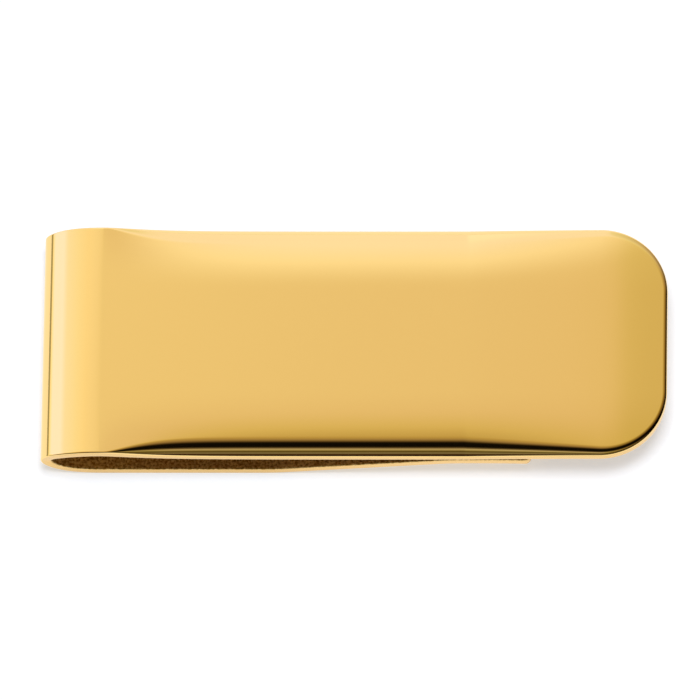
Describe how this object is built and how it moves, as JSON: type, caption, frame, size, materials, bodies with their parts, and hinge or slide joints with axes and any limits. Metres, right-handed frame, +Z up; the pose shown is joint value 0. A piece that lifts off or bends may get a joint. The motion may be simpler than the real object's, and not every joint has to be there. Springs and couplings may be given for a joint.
{
  "type": "money clip",
  "caption": "Plain folded-strip money clip: a domed polished front with rolled edges, a flat fold and a sprung back leg whose tongue grips under the front.",
  "frame": {"origin": "on the plane the clip lies on, under the middle of its length and width", "axes": "+X along the strip from the folded nose to the free end, +Y across the strip, +Z up from the back leg to the domed front"},
  "size_m": [0.05, 0.0192, 0.0048],
  "materials": {
    "polished_gold_plate": "gold plating, mirror polished outside and left as rolled inside the fold"
  },
  "bodies": {
    "back_leg": {"back_run": "polished_gold_plate", "lower_bend": "polished_gold_plate"},
    "front": {"front_plate": "polished_gold_plate", "upper_bend": "polished_gold_plate"},
    "tongue": {"leg_ramp": "polished_gold_plate", "grip_tongue": "polished_gold_plate"}
  },
  "joints": [
    {"name": "bend_flex", "type": "hinge", "parent": "back_leg", "child": "front", "pos_m": [-0.02455, 0, 0.0024], "axis": [0, -1, 0], "range_deg": [0, 7], "stiffness_Nm_per_rad": 12, "springref_deg": -0.8},
    {"name": "leg_flex", "type": "hinge", "parent": "back_leg", "child": "tongue", "pos_m": [-0.0082, 0, 0.00045], "axis": [0, 1, 0], "range_deg": [0, 3], "stiffness_Nm_per_rad": 5, "springref_deg": -0.92}
  ]
}
